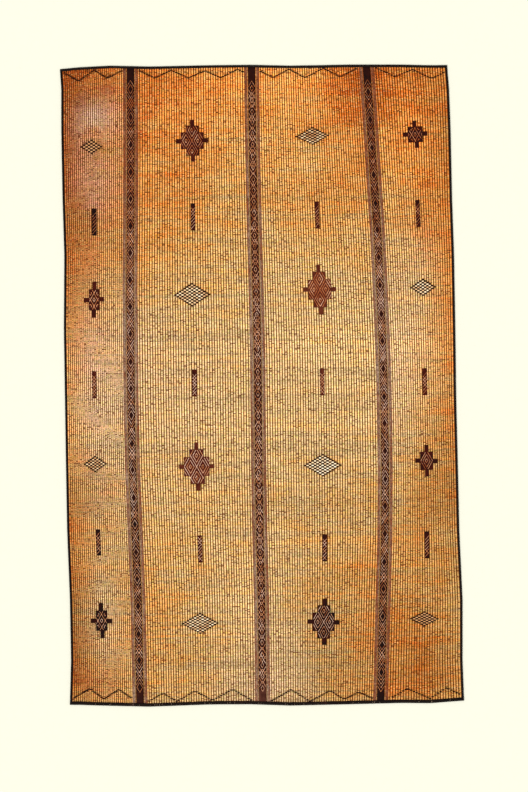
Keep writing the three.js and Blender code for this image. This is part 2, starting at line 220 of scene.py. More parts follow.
def repeatFaces(one, count, points):
    # the same faces for each of many like shapes, that have so many points each
    starts = range(0, count * points, points)
    return [tuple(start + corner for corner in face) for start in starts for face in one]


def joinShapes(shapes):
    # shapes: points, faces, material number, how faded
    points, faces, marks, faded = [], [], [], []
    start = 0
    for shapePoints, shapeFaces, mark, fade in shapes:
        points.append(np.asarray(shapePoints, dtype=float))
        faces.extend(tuple(start + corner for corner in face) for face in shapeFaces)
        marks.extend([mark] * len(shapeFaces))
        faded.append(np.broadcast_to(fade, len(shapePoints)))
        start += len(shapePoints)
    return np.vstack(points), faces, marks, {"faded": np.concatenate(faded)}


def sweepFaces(stations, around, folded=False):
    # a closed tube, one ring of points a station
    one = [(i, (i + 1) % around, around + (i + 1) % around, around + i) for i in range(around)]
    faces = repeatFaces(one, stations - 1, around)
    caps = [tuple(reversed(range(around)))]
    if folded:  # its inner points mirror its outer ones
        caps = [(i, around - 1 - i, around - 2 - i, i + 1) for i in range(around // 2 - 1)]
    last = (stations - 1) * around
    for cap in caps:
        faces += [cap, tuple(last + corner for corner in reversed(cap))]
    return faces


ridgePoints = 6


def ridges(segments, width, low, high):
    # thin raised laces, each from one place to another
    segments = np.asarray(segments, dtype=float).reshape(-1, 4)
    start, end = segments[:, :2], segments[:, 2:]
    run = end - start
    run = run / np.maximum(np.linalg.norm(run, axis=1, keepdims=True), 1e-6) * width / 2
    side = np.stack([-run[:, 1], run[:, 0]], -1)
    corners = [start - side, start + side, start + run, end - side, end + side, end - run]
    heights = [low, low, high, low, low, high]
    points = np.stack([np.column_stack([c, np.full(len(c), h)]) for c, h in zip(corners, heights)], 1)
    one = [(0, 3, 5, 2), (2, 5, 4, 1), (1, 4, 3, 0), (0, 2, 1), (3, 4, 5)]
    return points.reshape(-1, 3), repeatFaces(one, len(segments), ridgePoints)


def boxRim(width, length):
    return np.array([(-1, -1), (1, -1), (1, 1), (-1, 1)]) * (width / 2, length / 2)


def insetRim(rim, distance):
    # moves each corner of a rim that runs anticlockwise inwards
    def inward(run):
        run = run / np.maximum(np.linalg.norm(run, axis=1, keepdims=True), 1e-6)
        return np.stack([-run[:, 1], run[:, 0]], -1)

    first, second = inward(rim - np.roll(rim, 1, axis=0)), inward(np.roll(rim, -1, axis=0) - rim)
    scale = 1 + (first * second).sum(axis=1, keepdims=True)
    return rim + distance * (first + second) / np.maximum(scale, 0.5)


def leatherPlate(rim, low, shoulder, high, worn):
    # a flat plate whose upper edge has worn round
    levels = [(rim, low), (rim, shoulder), (insetRim(rim, worn), high)]
    points = np.vstack([np.column_stack([ring, np.full(len(rim), height)]) for ring, height in levels])
    return points, sweepFaces(len(levels), len(rim))


def pads(centres, sizes, low, high, worn=0.6):
    # small flat stitches of leather, upright for the lower part of their height
    upright = 0.55
    shoulder = low + (high - low) * upright
    plates = []
    for centre, size in zip(centres, sizes):
        plates.append((*leatherPlate(boxRim(*size) + centre, low, shoulder, high, worn), 0, 0))
    return joinShapes(plates)[:2]


def turnAbout(points, across, along, angle):
    # shapes drawn about their own middle, turned and set on the mat
    points = np.array(points, dtype=float)
    x, y = points[:, 0].copy(), points[:, 1].copy()
    points[:, 0] = across + x * math.cos(angle) - y * math.sin(angle)
    points[:, 1] = along + x * math.sin(angle) + y * math.cos(angle)
    return points


bumpDepth = 0.0003


# Nodes. A bench adds them to one material or group
class NodeBench:
    def __init__(self, tree):
        self.tree = tree

    def put(self, socket, value):
        if isinstance(value, tuple) and socket.type == "RGBA":
            value = (*value, 1.0)
        if isinstance(value, (int, float, tuple)):
            socket.default_value = value
        else:
            self.tree.links.new(value, socket)

    def add(self, kind, inputs, **settings):
        node = self.tree.nodes.new("ShaderNode" + kind)
        for name, value in settings.items():
            setattr(node, name, value)
        for name, value in inputs.items():
            self.put(node.inputs[name], value)
        return node.outputs

    def place(self):
        return self.add("TexCoord", {})["Object"]

    def attribute(self, name):
        return self.add("Attribute", {}, attribute_name=name)["Fac"]

    def math(self, kind, *values):
        return self.add("Math", dict(enumerate(values)), operation=kind)[0]

    def shift(self, uneven, amount, value):
        # moves a value up and down by a noise that runs from 0 to 1
        return self.math("MULTIPLY_ADD", self.math("SUBTRACT", uneven, 0.5), amount, value)

    def span(self, value, low, high, toLow=0.0, toHigh=1.0):
        inputs = {"Value": value, "From Min": low, "From Max": high, "To Min": toLow, "To Max": toHigh}
        return self.add("MapRange", inputs, interpolation_type="SMOOTHSTEP")["Result"]

    def noise(self, vector, scale, detail=2.0, rough=0.5):
        inputs = {"Vector": vector, "Scale": scale, "Detail": detail, "Roughness": rough}
        return self.add("TexNoise", inputs)["Fac"]

    def split(self, vector):
        return self.add("SeparateXYZ", {0: vector})

    def join(self, *parts):
        return self.add("CombineXYZ", dict(enumerate(parts)))[0]

    def dice(self, x, y):
        # one random number for a cell, and three more
        found = self.add("TexWhiteNoise", {"Vector": self.join(x, y)}, noise_dimensions="2D")
        return found["Value"], self.add("SeparateColor", {0: found["Color"]})

    def mix(self, share, first, second, blend="MIX"):
        return self.add("Mix", {0: share, 6: first, 7: second}, data_type="RGBA", blend_type=blend)[2]

    def shade(self, colour, light):
        grey = self.add("CombineColor", {0: light, 1: light, 2: light})[0]
        return self.mix(1.0, colour, grey, "MULTIPLY")

    def ramp(self, value, stops):
        colour = self.add("ValToRGB", {"Fac": value})["Color"]
        elements = colour.node.color_ramp.elements
        while len(elements) < len(stops):
            elements.new(0.5)
        for element, (at, tint) in zip(elements, stops):
            element.position = at
            element.color = (*tint, 1.0)
        return colour

    def shared(self, label, **values):
        return self.add("Group", values, node_tree=shared[label])

    def finish(self, shader, colour, roughness, height, strength):
        bump = self.add("Bump", {"Strength": strength, "Distance": bumpDepth, "Height": height})
        for label, value in (("Base Color", colour), ("Roughness", roughness), ("Normal", bump["Normal"])):
            self.put(shader[label], value)


def newGroup(name, inputs, outputs):
    group = bpy.data.node_groups.new(name, "ShaderNodeTree")
    for label, value in inputs.items():
        socket = group.interface.new_socket(label, in_out="INPUT", socket_type="NodeSocketFloat")
        socket.default_value = value
    for label in outputs:
        group.interface.new_socket(label, in_out="OUTPUT", socket_type="NodeSocketFloat")
    given, made = group.nodes.new("NodeGroupInput"), group.nodes.new("NodeGroupOutput")
    return NodeBench(group), given.outputs, made.inputs


def grainGroup():
    # pebbled grain with fine creases, and the slow mottling of the dye
    bench, given, made = newGroup("leatherGrain", {"Scale": 900.0, "Creases": 0.4}, ["Height", "Mottle"])
    place = bench.place()
    cells = bench.add("TexVoronoi", {"Vector": place, "Scale": given["Scale"]}, feature="SMOOTH_F1")
    creased = bench.math("MULTIPLY", bench.noise(place, 260.0, 4.0, 0.65), given["Creases"])
    bench.put(made["Height"], bench.math("ADD", cells["Distance"], creased))
    bench.put(made["Mottle"], bench.span(bench.noise(place, 28.0, 5.0, 0.6), 0.3, 0.7))
    return bench.tree


def streakGroup():
    # long streaks that follow a stem, a thong or a strip
    bench, given, made = newGroup("stemStreaks", {"Across": 900.0, "Along": 30.0}, ["Value"])
    place = bench.split(bench.place())
    scales = (given["Across"], given["Along"], 300.0)
    drawn = bench.join(*[bench.math("MULTIPLY", place[i], scale) for i, scale in enumerate(scales)])
    bench.put(made["Value"], bench.noise(drawn, 1.0, 3.0, 0.6))
    return bench.tree


def rubbedGroup():
    # where hands and feet have rubbed the dye off
    bench, given, made = newGroup("rubbedPlaces", {"Amount": 0.4, "Scale": 60.0}, ["Mask"])
    rub = bench.noise(bench.place(), given["Scale"], 6.0, 0.7)
    start = bench.math("SUBTRACT", 0.78, bench.math("MULTIPLY", given["Amount"], 0.4))
    bench.put(made["Mask"], bench.span(rub, start, bench.math("ADD", start, 0.16)))
    return bench.tree


def dustGroup():
    # pale dust that lies in the low places
    bench, given, made = newGroup("desertDust", {"Amount": 0.3, "Top": 0.005}, ["Mask"])
    place = bench.place()
    low = bench.span(bench.split(place)["Z"], given["Top"], 0.0, 0.5, 1.0)
    fine = bench.span(bench.noise(place, 120.0, 5.0, 0.7), 0.42, 0.68)
    bench.put(made["Mask"], bench.math("MULTIPLY", bench.math("MULTIPLY", fine, low), given["Amount"]))
    return bench.tree


def beadGroup():
    # short lengths along a cord or a lace, each worn a little differently
    bench, given, made = newGroup("wornBeads", {"Length": 0.0047, "Cord": 0.0}, ["Value", "Second"])
    step = bench.math("DIVIDE", bench.split(bench.place())["Y"], given["Length"])
    parts = bench.dice(bench.math("FLOOR", step), bench.math("ROUND", given["Cord"]))[1]
    bench.put(made["Value"], parts[0])
    bench.put(made["Second"], parts[1])
    return bench.tree


shared = {"grain": grainGroup(), "beads": beadGroup(), "streaks": streakGroup(),
          "rubbed": rubbedGroup(), "dust": dustGroup()}


def newMaterial(name, specular):
    material = bpy.data.materials.new(name)
    material.use_nodes = True
    shader = material.node_tree.nodes["Principled BSDF"].inputs
    shader["Specular IOR Level"].default_value = specular
    return material, NodeBench(material.node_tree), shader


reedLook = {
    # from straw to deep rust, as the reed grows warmer
    "hues": [(0.0, (0.91, 0.70, 0.40)), (0.3, (0.91, 0.57, 0.22)), (0.6, (0.88, 0.37, 0.085)),
             (0.85, (0.74, 0.20, 0.028)), (1.0, (0.46, 0.09, 0.008))],
    # the last colour is painted shade and dirt in the gap between a band and its flank
    "bleached": (0.90, 0.66, 0.54), "grime": (0.30, 0.15, 0.06), "shadeAndDirtBesideBand": (0.17, 0.065, 0.030),
    # how far each kind of unevenness moves the hue, and the lightness from the darkest
    "hueShifts": {"stem": 0.75, "reed": 0.32, "batch": 0.6, "cloud": 0.85},
    "darkest": -0.04,
    "lights": {"fibre": 0.4, "reed": 0.42, "length": 0.52, "batch": 0.4, "stem": 0.3},
    # what drives it, from, to, how strong, colour, how it is laid on
    "tints": [
        ("lengthHue", 0.6, 1.0, 0.45, (1.0, 0.72, 0.66), "MULTIPLY"),  # pinkish lengths
        ("lengthHue", 0.4, 0.0, 0.8, (0.84, 0.97, 0.55), "MULTIPLY"),  # greenish lengths
        ("lengthPolish", 0.72, 0.95, 0.35, (0.98, 0.66, 0.30), "MIX"),
    ],
    "marks": [
        ("blotch", 0.63, 0.69, 0.8, (0.12, 0.022, 0.001), "MIX"),
        ("darkLength", 0.91, 0.95, 0.78, (0.12, 0.022, 0.001), "MIX"),
        ("fromThong", 4.8, 2.4, 0.85, (0.94, 0.66, 0.30), "MULTIPLY"),  # painted shade and dirt, a soft darkening in a wide band beside a thong
        ("fromThong", 3.1, 1.6, 0.95, (0.11, 0.026, 0.0005), "MIX"),  # painted shade and dirt, darker close beside a thong
    ],
    "pitch": 11.6,  # thong spacing that the painted shade and dirt beside each thong are measured in
}


def reedMaterial():
    material, bench, shader = newMaterial("dryReed", 0.06)
    warm, pale, grime, seed, turn, band, bright = (bench.attribute(label) for label in (
        "warm", "pale", "grime", "reedSeed", "thongTurn", "bandDistance", "bright"))
    place = bench.place()
    across = bench.split(place)["X"]
    drives = {"reed": bench.attribute("reedTone")}
    # slow change along one reed, then its knots and short dark lengths
    for label, perMetre, perReed, detail in (("stem", 16.0, 61.0, 3.0), ("blotch", 95.0, 143.0, 2.0)):
        spot = bench.join(bench.math("MULTIPLY", across, perMetre), bench.math("MULTIPLY", seed, perReed))
        drives[label] = bench.noise(spot, 1.0, detail, 0.6)
    # stains that spread over many reeds, and bundles of reeds from one place
    cloud = drives["cloud"] = bench.noise(place, 7.5, 5.0, 0.62)
    flat = bench.add("Mapping", {"Vector": place, "Scale": (2.6, 21.0, 0.0)})[0]
    drives["batch"] = bench.noise(flat, 1.0, 3.0, 0.6)
    fibre = drives["fibre"] = bench.shared("streaks", Across=60.0, Along=2600.0)["Value"]
    # each short length of reed between two thongs has worn a little differently
    cell = bench.math("FLOOR", bench.math("ADD", turn, 0.5)), bench.math("MULTIPLY", seed, 977.0)
    drives["darkLength"], parts = bench.dice(*cell)
    drives["lengthHue"], drives["lengthPolish"], drives["length"] = parts[0], parts[1], parts[2]
    # how far from the nearest thong, in millimetres
    offset = bench.math("SUBTRACT", bench.math("FRACT", turn), 0.5)
    drives["fromThong"] = bench.math("MULTIPLY", bench.math("ABSOLUTE", offset), reedLook["pitch"])

    def layOn(colour, rows):
        for drive, low, high, strength, tint, blend in rows:
            colour = bench.mix(bench.span(drives[drive], low, high, 0.0, strength), colour, tint, blend)
        return colour

    hue = warm
    for label, amount in reedLook["hueShifts"].items():
        hue = bench.shift(drives[label], amount, hue)
    colour = bench.ramp(hue, reedLook["hues"])
    bleach = bench.math("MULTIPLY", pale, bench.span(cloud, 0.24, 0.54))
    soil = bench.math("MULTIPLY", grime, bench.span(cloud, 0.68, 0.36, 0.0, 0.7))
    # painted shade and dirt in the gap between a band and its flank, 15 to 22.5 mm from the band's middle
    beside = bench.math("MULTIPLY", bench.span(band, 15.0, 17.0, 0.0, 0.62), bench.span(band, 22.5, 21.5))
    for share, label in ((bleach, "bleached"), (soil, "grime"), (beside, "shadeAndDirtBesideBand")):
        colour = bench.mix(share, colour, reedLook[label])
    colour = layOn(colour, reedLook["tints"])
    light = reedLook["darkest"]
    for label, amount in reedLook["lights"].items():
        light = bench.math("MULTIPLY_ADD", drives[label], amount, light)
    colour = bench.shade(colour, bench.math("MULTIPLY_ADD", light, bright, light))
    # dark specks and dark lengths, then the painted shade and dirt beside each thong
    colour = layOn(colour, reedLook["marks"])
    bench.finish(shader, colour, bench.span(fibre, 0.3, 0.7, 0.62, 0.42), fibre, 0.35)
    return material


plainLeather = {"mottle": 0.4, "streak": 0.5, "streakAcross": 500.0, "streakAlong": 40.0, "rub": 0.35,
                "rubShare": 0.6, "dustColour": (0.36, 0.22, 0.12), "roughness": (0.48, 0.7)}


def leatherMaterial(name, look):
    # dyed leather: grain, mottled dye, rubbed places, dust; faded runs from fresh to worn
    look = {**plainLeather, **look}
    material, bench, shader = newMaterial(name, 0.05)
    grain = bench.shared("grain", Scale=900.0, Creases=0.5)
    streaks = bench.shared("streaks", Across=look["streakAcross"], Along=look["streakAlong"])
    share = bench.shift(grain["Mottle"], look["mottle"], bench.attribute("faded"))
    share = bench.shift(streaks["Value"], look["streak"], share)
    colour = bench.ramp(share, [(0.0, look["fresh"]), (0.5, look["used"]), (1.0, look["worn"])])
    rub = bench.shared("rubbed", Amount=look["rub"], Scale=70.0)["Mask"]
    colour = bench.mix(bench.math("MULTIPLY", rub, look["rubShare"]), colour, look["worn"])
    if "beads" in look:
        bead = bench.shared("beads", Length=look["beadLength"], Cord=bench.attribute("cord"))
        light = bench.math("MULTIPLY_ADD", bead["Value"], look["beads"], 1 - look["beads"] / 2)
        tinted = bench.span(bead["Second"], 0.55, 1.0, 0.0, look["tint"])
        colour = bench.mix(tinted, bench.shade(colour, light), look["tintColour"])
    colour = bench.mix(bench.shared("dust", Amount=look["dust"])["Mask"], colour, look["dustColour"])
    roughness = bench.span(grain["Mottle"], 0.0, 1.0, *look["roughness"])
    bench.finish(shader, colour, roughness, grain["Height"], 0.5)
    return material


leatherLooks = {
    "bindingLeather": {
        "fresh": (0.004, 0.002, 0.002), "used": (0.008, 0.004, 0.003), "worn": (0.045, 0.014, 0.010),
        "dust": 0.02, "rub": 0.2,
    },
    "bandLeather": {
        "fresh": (0.006, 0.0008, 0.0005), "used": (0.024, 0.003, 0.001), "worn": (0.075, 0.022, 0.013),
        "dust": 0.01, "rub": 0.15,
    },
    "flankLeather": {
        "fresh": (0.16, 0.034, 0.007), "used": (0.19, 0.084, 0.042), "worn": (0.26, 0.17, 0.115),
        "dust": 0.03, "streak": 0.9, "beads": 1.0, "beadLength": 0.0047,
        "tint": 0.5, "tintColour": (0.11, 0.045, 0.035),
    },
    "medallionLeather": {
        "fresh": (0.006, 0.0008, 0.0005), "used": (0.040, 0.003, 0.0008), "worn": (0.11, 0.022, 0.008),
        "dust": 0.01, "rub": 0.15,
    },
    "lacingLeather": {
        "fresh": (0.38, 0.085, 0.018), "used": (0.64, 0.26, 0.10), "worn": (0.86, 0.58, 0.42),
        "dust": 0.01, "streak": 0.6, "streakAlong": 300.0, "beads": 0.5, "beadLength": 0.006,
        "tint": 0.3, "tintColour": (0.70, 0.42, 0.30),
    },
    "dashLeather": {
        "fresh": (0.006, 0.0008, 0.0002), "used": (0.020, 0.003, 0.0005), "worn": (0.07, 0.012, 0.002),
        "dust": 0.01, "rub": 0.15,
    },
    "thongLeather": {
        "fresh": (0.012, 0.002, 0.0002), "used": (0.050, 0.013, 0.001), "worn": (0.16, 0.070, 0.012),
        "dust": 0.01, "rub": 0.1, "streak": 0.6, "streakAcross": 40.0, "streakAlong": 120.0,
    },
    "paleBead": {
        "fresh": (0.55, 0.26, 0.10), "used": (0.88, 0.62, 0.34), "worn": (0.93, 0.84, 0.62),
        "dust": 0.01, "streak": 0.3, "mottle": 0.2, "rub": 0.1,
    },
    "stitchThread": {
        "fresh": (0.16, 0.08, 0.05), "used": (0.38, 0.25, 0.17), "worn": (0.62, 0.48, 0.34),
        "dust": 0.02, "streak": 1.0, "streakAlong": 200.0,
    },
}
leathers = {name: leatherMaterial(name, look) for name, look in leatherLooks.items()}
reedSkin = reedMaterial()
print("materials made:", len(leathers) + 1)

# Camera, light and floor
view = {"across": 9.4, "along": -47.4, "frameHeight": 3643.0, "lens": 85.0, "sensor": 36.0}


def makeCamera():
    data = bpy.data.cameras.new("overheadCamera")
    data.lens = view["lens"]
    data.sensor_width = view["sensor"]
    data.dof.use_dof = False
    camera = bpy.data.objects.new("overheadCamera", data)
    height = view["frameHeight"] * view["lens"] / view["sensor"]
    camera.location = (view["across"] * mm, view["along"] * mm, height * mm)
    scene.collection.objects.link(camera)
    scene.camera = camera


studio = {
    "sky": 0.90, "sun": 2.44, "sunSpread": 25, "sunTilt": 40, "sunTurn": -40,
    "floor": (0.684, 0.675, 0.563), "floorSpeckle": 0.99, "floorRoughness": 0.9,
    "floorReach": 9.0, "floorDrop": 0.0002,
}


def makeStudio():
    world = bpy.data.worlds.new("softRoom")
    world.use_nodes = True
    sky = world.node_tree.nodes["Background"].inputs
    sky["Color"].default_value = (1.0, 1.0, 1.0, 1.0)
    sky["Strength"].default_value = studio["sky"]
    scene.world = world
    lamp = bpy.data.lights.new("softSun", "SUN")
    lamp.energy = studio["sun"]
    lamp.angle = math.radians(studio["sunSpread"])
    sun = bpy.data.objects.new("softSun", lamp)
    sun.rotation_euler = (math.radians(studio["sunTilt"]), 0, math.radians(studio["sunTurn"]))
    scene.collection.objects.link(sun)

    material, bench, shader = newMaterial("paleFloor", 0.0)
    speckle = bench.span(bench.noise(bench.place(), 40.0, 3.0), 0.3, 0.7)
    darker = tuple(channel * studio["floorSpeckle"] for channel in studio["floor"])
    bench.put(shader["Base Color"], bench.mix(speckle, studio["floor"], darker))
    shader["Roughness"].default_value = studio["floorRoughness"]
    reach = 2 * studio["floorReach"] / mm
    corners = np.column_stack([boxRim(reach, reach), np.zeros(4)])
    floor = makePiece("floor", corners, [(0, 1, 2, 3)], [material], smooth=False)
    floor.location.z = -studio["floorDrop"]
    scene.view_settings.view_transform = "Standard"
    scene.view_settings.look = "None"


makeCamera()
makeStudio()
print("camera and studio set")

# The reeds, one tube each, running across
reeds = {
    "count": 626, "around": 6, "wander": 0.28, "seed": 7,
    "spread": 0.11, "widthDrift": (9, 0.08), "fill": (0.93, 1.0),
    "low": 0.6, "top": 3.5, "topWear": 0.12, "roundness": 0.98,
    # inside the binding: height, where the fold starts and the tip lies, and the thongs counted there
    "foldLow": 1.5, "foldTop": 3.45, "foldReach": 1, "foldInset": 10.5, "tipInset": 2.5,
    "foldTurn": 0.44, "tipTurn": 1.2,
    "toneSpread": 0.7, "toneDrift": (3, 0.22),
}
endInset = 2.4  # the first and last reed lie just inside the fold of the binding
matLength = 2941 - 2 * endInset  # the mean of the mat's length, less both folds
behindBand = 5  # ties behind each band and its flanks


def reedShares():
    chance = np.random.default_rng(reeds["seed"])
    widths = 1 + reeds["spread"] * chance.normal(0, 1, reeds["count"]).clip(-2, 2)
    widths = widths * (1 + waver(chance, reeds["count"], *reeds["widthDrift"]))
    widths = widths / widths.sum()
    return np.cumsum(widths) - widths / 2, widths


reedShare, reedWidth = reedShares()


def reedStations():
    # how far across each station lies, as a function of the place along, how many thongs were
    # passed there, and whether the reed is still whole
    tip, fold = reeds["tipInset"], reeds["foldInset"]
    tipTurn, foldTurn = reeds["tipTurn"], reeds["foldTurn"]
    stations = [(lambda a: leftEdge(a) + tip, -tipTurn, 0.0), (lambda a: leftEdge(a) + fold, -foldTurn, 1.0)]
    passed = 0
    for panel, count in enumerate(panelThongs):
        for share in ([0.5, 1.0], [0.0, 0.5, 1.0], [0.0, 0.5, 1.0], [0.0, 0.5])[panel]:
            turn = share * count
            stations.append((lambda a, p=panel, t=turn: thongAcross(p, t, a), passed + turn, 1.0))
        passed += count
        if panel < 3:
            stations.append((lambda a, b=panel: bandMiddle(b, a), passed + behindBand / 2, 1.0))
    stations.append((lambda a: rightEdge(a) - fold, passed + foldTurn, 1.0))
    stations.append((lambda a: rightEdge(a) - tip, passed + tipTurn, 0.0))
    return stations


def buildReeds():
    chance = np.random.default_rng(reeds["seed"] + 1)
    stations = reedStations()
    count, length, around = reeds["count"], len(stations), reeds["around"]
    across, along, turns, whole = np.zeros((4, count, length))
    for index, (acrossOf, turn, full) in enumerate(stations):
        across[:, index], along[:, index] = settle(acrossOf, reedShare, endInset, endInset)
        turns[:, index] = turn
        whole[:, index] = full
    along += chance.uniform(-reeds["wander"], reeds["wander"], along.shape) * whole
    half = reedWidth[:, None] * matLength / 2 * chance.uniform(*reeds["fill"], along.shape)
    squeezed = underBinding(across, along, reeds["foldReach"]) | (whole == 0)
    low = np.where(squeezed, reeds["foldLow"], reeds["low"])
    worn = chance.uniform(-reeds["topWear"], 0, along.shape)
    top = np.where(squeezed, reeds["foldTop"], reeds["top"] + worn)
    step, middle = 2 * math.pi / around, (low + top) / 2
    rise = (top - low) / 2 * reeds["roundness"] / math.sin(step)
    rings = [np.stack([across, along + half * math.cos(step * i), middle + rise * math.sin(step * i)], -1)
             for i in range(around)]
    points = np.stack(rings, 2).reshape(-1, 3)
    faces = repeatFaces(sweepFaces(length, around), count, length * around)
    slow = np.stack([waver(chance, count, *reeds["toneDrift"]) for _ in range(length)], 1)
    own = (chance.uniform(0, 1, (count, 1)) - 0.5) * reeds["toneSpread"] + 0.5
    tone = np.clip(own + slow, 0, 1)
    each = {kind: toneAt(kind, across, along) for kind in ("warm", "pale", "grime", "bright")}
    each["reedTone"] = tone
    each["reedSeed"] = np.broadcast_to(chance.uniform(0, 1, (count, 1)), along.shape)
    each["thongTurn"] = turns
    each["bandDistance"] = np.min([np.abs(across - bandMiddle(band, along)) for band in range(3)], axis=0)
    values = {label: np.repeat(numbers.ravel(), around) for label, numbers in each.items()}
    return makePiece("reeds", points, faces, [reedSkin], values=values)


reedPiece = buildReeds()
print("reeds laid:", reeds["count"], "faces", len(reedPiece.data.polygons))

# The thongs, over one reed and under the next, running along
thongs = {
    "width": 3.9, "swell": (70, 0.24), "dashSwell": 0.14, "wander": (5, 0.16), "seed": 21,
    # heights over and under a reed, and where a thong bends down over its shoulders
    "over": 4.1, "shoulder": 3.78, "under": 0.04, "underShoulder": 0.36, "shoulderAt": 0.31,
    "pressed": 3.56, "pressedUnder": 1.4, "foldReach": 2,  # in a fold, and behind a band
    "faded": 0.62, "fadedWith": {"warm": -0.6, "pale": 0.05, "grime": -0.1},
    "fadeDrift": (80, 0.4), "dashFade": 0.3,
    "tieShifts": (-29.2, -14.6, 0, 14.6, 29.2),  # behind a band and its two flanks
}


def weaveThongs(name, lines, firstUp, tied=False):
    # lines: for each thong, how far across it lies as a function of the place along
    chance = np.random.default_rng(thongs["seed"] + len(name) + len(lines))
    count = reeds["count"]
    offsets = np.array([-1, 0, 1]) * thongs["shoulderAt"]
    shares = (reedShare[:, None] + offsets[None] * reedWidth[:, None]).ravel()
    steps = len(shares)
    reed = np.repeat(np.arange(count), 3)
    limit = thongs["pressed"] if tied else thongs["over"]
    high = np.tile(np.minimum([thongs["shoulder"], thongs["over"], thongs["shoulder"]], limit), count)
    low = np.tile([thongs["underShoulder"], thongs["under"], thongs["underShoulder"]], count)
    points, fades = [], []
    for index, acrossOf in enumerate(lines):
        across, along = settle(acrossOf, shares, endInset, endInset)
        inFold = underBinding(across, along, thongs["foldReach"])
        height = np.where((reed + index + firstUp) % 2 == 0, np.where(inFold, thongs["pressed"], high),
                          np.where(inFold, thongs["pressedUnder"], low))
        across = across + waver(chance, steps, *thongs["wander"])
        dash = np.repeat(chance.uniform(-1, 1, count), 3)  # each crossing a little different
        half = thongs["width"] / 2 * (1 + waver(chance, steps, *thongs["swell"]) + thongs["dashSwell"] * dash)
        points.append(np.stack([np.stack([across + s * half, along, height], -1) for s in (-1, 1)], 1))
        tone = sum(amount * toneAt(kind, across, along) for kind, amount in thongs["fadedWith"].items())
        drift = waver(chance, steps, *thongs["fadeDrift"]) + thongs["dashFade"] * np.roll(dash, 3)
        fades.append(np.repeat(np.clip(thongs["faded"] + tone + drift, 0, 1), 2))
    strip = repeatFaces([(0, 1, 3, 2)], steps - 1, 2)
    faces = repeatFaces(strip, len(lines), steps * 2)
    points, values = np.concatenate(points).reshape(-1, 3), {"faded": np.concatenate(fades)}
    return makePiece(name, points, faces, [leathers["thongLeather"]], values=values)


thongPieces = []
for panel, count in enumerate(panelThongs):
    lines = [lambda a, p=panel, k=index: thongAcross(p, k + 0.5, a) for index in range(count)]
    thongPieces.append(weaveThongs("thongs_" + "abcd"[panel], lines, panel % 2))
ties = [lambda a, b=band, d=shift: bandMiddle(b, a) + d for band in range(3) for shift in thongs["tieShifts"]]
tiePiece = weaveThongs("bandTies", ties, 0, tied=True)
print("thongs woven:", sum(panelThongs) + len(ties))

# Leather strips that run along: bands, flanks
strips = {"stations": 300, "clear": 0.4, "edgeDrift": (5, 0.45), "lift": (4, 0.08), "liftAbove": 4}

bands = {
    "profile": [(0, 0.0, 3.7), (0, 0.0, 4.6), (0, 0.7, 5.04), (0.3, 0, 5.1)],  # its left half
    "slope": 1.8, "seed": 5,
    "laceHalf": 15.4, "laceGap": 3, "laceShift": 1.4, "laceLow": 4.98, "laceHigh": 5.5,
    "laceUneven": (-0.45, 0.25),
    "laced": (-1418.6, 1413),  # plain leather beyond these places along
    # size and height of the lower and the upper rim of a lozenge
    "lozengeRims": ((1.0, 5.0), (0.82, 5.4)),
    "lozengeFaded": 0.6, "lozengeShift": 3, "lozengeReach": 1400,
    # for the left, middle and right band: the repeat, the first lozenge, half a lozenge,
    # laces round it, the step between them, how often one more crosses back, their width
    "patterns": [
        {"repeat": 125, "first": 1361, "lozenge": (9, 19), "laces": 4, "step": 17, "crossed": 0.5,
         "width": 1.9},
        {"repeat": 52, "first": 1366, "lozenge": (6, 10), "laces": 2, "step": 21, "crossed": 0.3,
         "width": 2.0},
        {"repeat": 127, "first": 1350, "lozenge": (9, 19), "laces": 4, "step": 17, "crossed": 0.5,
         "width": 1.9},
    ],
    # along, then how faded the left, middle and right band is
    "faded": [
        (-1480, 0.5, 0.95, 0.15), (-1300, 0.2, 0.4, 0.1), (-600, 0.3, 0.5, 0.35), (-200, 0.5, 0.55, 0.6),
        (150, 0.65, 0.6, 0.7), (500, 0.65, 0.6, 0.6), (750, 0.5, 0.5, 0.45), (1100, 0.4, 0.45, 0.4),
        (1480, 0.1, 0.25, 0.1),
    ],
    # along, then how pale and grey the laces have become
    "laceFaded": [
        (-1480, 0.6, 0.75, 0.5), (-1000, 0.6, 0.65, 0.55), (-300, 0.85, 0.75, 0.8),
        (400, 0.8, 0.65, 0.85), (800, 0.35, 0.5, 0.35), (1480, 0.1, 0.45, 0.15),
    ],
}


def stripAlong(band, fromMiddle, toMiddle, profile, chance):
    # profile: share across, shift across, height
    stations, clear = strips["stations"], strips["clear"]
    shares = np.linspace(0, 1, stations)
    leftDrift, rightDrift = (waver(chance, stations, *strips["edgeDrift"]) for _ in range(2))
    lift = waver(chance, stations, *strips["lift"])
    insets = outline["bindingBottom"] + clear, outline["bindingTop"] + clear
    rings = []
    for share, shift, height in profile:
        offset = fromMiddle + (toMiddle - fromMiddle) * share + shift
        across, along = settle(lambda a: bandMiddle(band, a) + offset, shares, *insets)
        drift = leftDrift * (1 - share) + rightDrift * share
        raised = height + lift * (height > strips["liftAbove"])
        rings.append(np.stack([across + drift, along, raised], -1))
    return np.stack(rings, 1).reshape(-1, 3), sweepFaces(stations, len(profile))


def bandLaces(band, chance):
    # nested diamonds round a dark lozenge, meeting or crossing halfway to the next one
    slope, half, pattern = bands["slope"], bands["laceHalf"], bands["patterns"][band]
    centres = np.arange(pattern["first"], -bands["lozengeReach"], -pattern["repeat"])
    centres = shaken(chance, centres, bands["lozengeShift"])
    segments = []
    for centre in centres:
        count = pattern["laces"] + int(chance.random() < pattern["crossed"])
        tips = pattern["lozenge"][1] + bands["laceGap"] + pattern["step"] * np.arange(count)
        for tip in shaken(chance, tips, bands["laceShift"]):
            reach = min(half, tip / slope)
            foot = tip - slope * reach
            segments += [(0.0, centre + up * tip, side * reach, centre + up * foot)
                         for up in (-1, 1) for side in (-1, 1)]
    segments = np.array(segments)
    ends = segments[:, [1, 3]]
    kept = (ends.max(axis=1) < bands["laced"][1]) & (ends.min(axis=1) > bands["laced"][0])
    return segments[kept], centres


